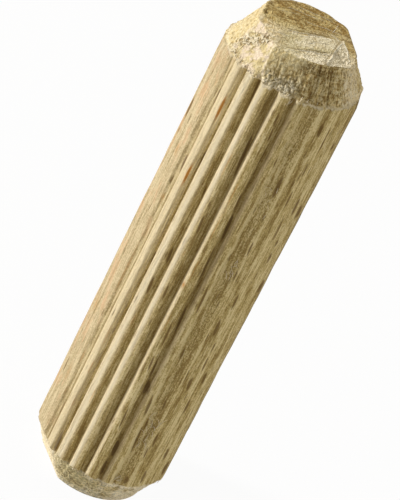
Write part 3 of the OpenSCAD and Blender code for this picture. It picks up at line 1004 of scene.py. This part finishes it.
def build_fibres():
    """Fine slivers that stand where the crests were torn off, and along the torn band."""
    rng = np.random.default_rng(7)
    verts, faces = [], []
    for first, last, height, count, length, lean in TORN:
        long_run = height < TOP_EDGE - 0.5 and height > FOOT_CHAMFER + 0.5
        for _ in range(count):
            turn = rng.uniform(first, last)
            foot = height + (rng.uniform(-1.1, 1.1) if long_run else rng.uniform(-0.1, 0.06))
            run = length * rng.uniform(0.5, 1.2)
            tilt = math.radians(rng.normal(0, lean) if lean < 100 else 180 + rng.normal(0, 50))
            curl = rng.uniform(-1.2, 1.2)
            column = int(round((turn + 180) / 360 * COLUMNS)) % COLUMNS
            surface = np.interp(-foot, -z[:, column], radius[:, column])
            start = len(verts)
            for k, share in enumerate(FIBRE_SHARES):
                bend = tilt + curl * share
                up = foot + run * share * math.cos(bend)
                around_by = run * share * math.sin(bend)
                lift = (0.10 if long_run else 0.3) * run * math.sin(math.pi * 0.8 * share)
                out = min(surface - 0.012 + lift, PIN_R - SINK - FIBRE_R)
                thick = FIBRE_R * (1 - 0.6 * share)
                a = math.radians(turn) + around_by / PIN_R
                for j in range(FIBRE_SIDES):
                    way = 2 * math.pi * j / FIBRE_SIDES
                    r, b = out + thick * math.cos(way), a + thick * math.sin(way) / PIN_R
                    verts.append((r * math.sin(b) * MM, -r * math.cos(b) * MM, up * MM))
                if k:
                    for j in range(FIBRE_SIDES):
                        ring = start + (k - 1) * FIBRE_SIDES
                        p, q = ring + j, ring + (j + 1) % FIBRE_SIDES
                        faces.append((p, q, q + FIBRE_SIDES, p + FIBRE_SIDES))
            tip = len(verts) - FIBRE_SIDES
            faces += [(start + 2, start + 1, start), (tip, tip + 1, tip + 2)]
    looks = dict(end_grain=1.0, pale=0.9, crumbly=0.3)
    layers = {name: np.full(len(verts), value) for name, value in looks.items()}
    return add_piece("torn_fibres", verts, faces, layers)


pin = build_pin()
pin.data.materials.append(beech_material())
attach(pin, "root")
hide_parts("dowel_pin")
fibres = build_fibres()
fibres.data.materials.append(pin.data.materials[0])
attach(fibres, "root")


# ---------------------------------------------------------------- floor
FLOOR_HALF = 3.0         # metres


def build_floor():
    mesh = bpy.data.meshes.new("floor")
    corners = [(-1, -1), (1, -1), (1, 1), (-1, 1)]
    mesh.from_pydata([(FLOOR_HALF * sx, FLOOR_HALF * sy, 0) for sx, sy in corners], [], [(0, 1, 2, 3)])
    floor = bpy.data.objects.new("floor", mesh)
    bpy.context.scene.collection.objects.link(floor)
    mat = bpy.data.materials.new("white_table")
    mat.use_nodes = True
    tree = mat.node_tree
    tree.nodes.clear()
    paths = tree.nodes.new("ShaderNodeLightPath")
    seen = Wire(tree, paths.outputs["Is Camera Ray"])
    matt = seen.node("ShaderNodeBsdfDiffuse", (), Color=shade(0.9, 0.9, 0.9))
    glow = seen.node("ShaderNodeEmission", (), Color=shade(1, 1, 1), Strength=1.0)
    # white to the camera; to other rays the floor also glows a little and lights the pin from below like a
    # lamp
    both = seen.node("ShaderNodeMixShader", (), _0=seen * 0.68 + 0.26, _1=seen.out(matt), _2=seen.out(glow))
    seen.node("ShaderNodeOutputMaterial", (), Surface=seen.out(both))
    mesh.materials.append(mat)
    return floor


floor = build_floor()

# ---------------------------------------------------------------- light
world = bpy.data.worlds.new("studio")
bpy.context.scene.world = world
world.use_nodes = True
sky = world.node_tree.nodes["Background"]
sky.inputs["Color"].default_value = (1, 0.97, 0.90, 1)
sky.inputs["Strength"].default_value = 0.34

middle = Vector((0, 0, PIN_LEN * MM / 2))


def lamp(name, turn, rise, distance, size, watts, colour=(1, 1, 1)):
    """A round lamp that faces the pin, so many metres from its middle."""
    data = bpy.data.lights.new(name, "AREA")
    data.shape = "DISK"
    data.size = size
    data.energy = watts
    data.color = colour
    light = bpy.data.objects.new(name, data)
    bpy.context.scene.collection.objects.link(light)
    x, y = around(turn)
    flat_part = math.cos(math.radians(rise))
    way = Vector((x * flat_part, y * flat_part, math.sin(math.radians(rise))))
    light.location = middle + way * distance
    light.rotation_mode = "QUATERNION"
    light.rotation_quaternion = way.to_track_quat("Z", "Y")


lamp("window", turn=-84, rise=22, distance=0.5, size=0.09, watts=2.3)
lamp("far_wall", turn=112, rise=42, distance=0.6, size=0.4, watts=0.76, colour=(1, 0.96, 0.76))

# ---------------------------------------------------------------- camera
CAMERA_RISE = 30.5          # degrees above the horizon
CAMERA_ROLL = 26.92
SENSOR = 36
LENS = 236.74
DISTANCE = 44.625 * PIN_R * MM
OFF_CENTRE = (0.001023, 0.001803)   # of the distance, across and up

camera_data = bpy.data.cameras.new("camera")
camera = bpy.data.objects.new("camera", camera_data)
bpy.context.scene.collection.objects.link(camera)
bpy.context.scene.camera = camera
camera_data.sensor_width = SENSOR
camera_data.lens = LENS
camera_data.clip_start = 0.01
camera_data.clip_end = 20
back = Vector((0, -math.cos(math.radians(CAMERA_RISE)), math.sin(math.radians(CAMERA_RISE))))
look = (-back).to_track_quat("-Z", "Y")
roll = Matrix.Rotation(math.radians(CAMERA_ROLL), 4, "Z").to_quaternion()
camera.rotation_mode = "QUATERNION"
camera.rotation_quaternion = look @ roll
shift = camera.rotation_quaternion @ Vector((OFF_CENTRE[0] * DISTANCE, OFF_CENTRE[1] * DISTANCE, 0))
camera.location = middle + back * DISTANCE + shift
bpy.context.scene.view_settings.view_transform = "Standard"
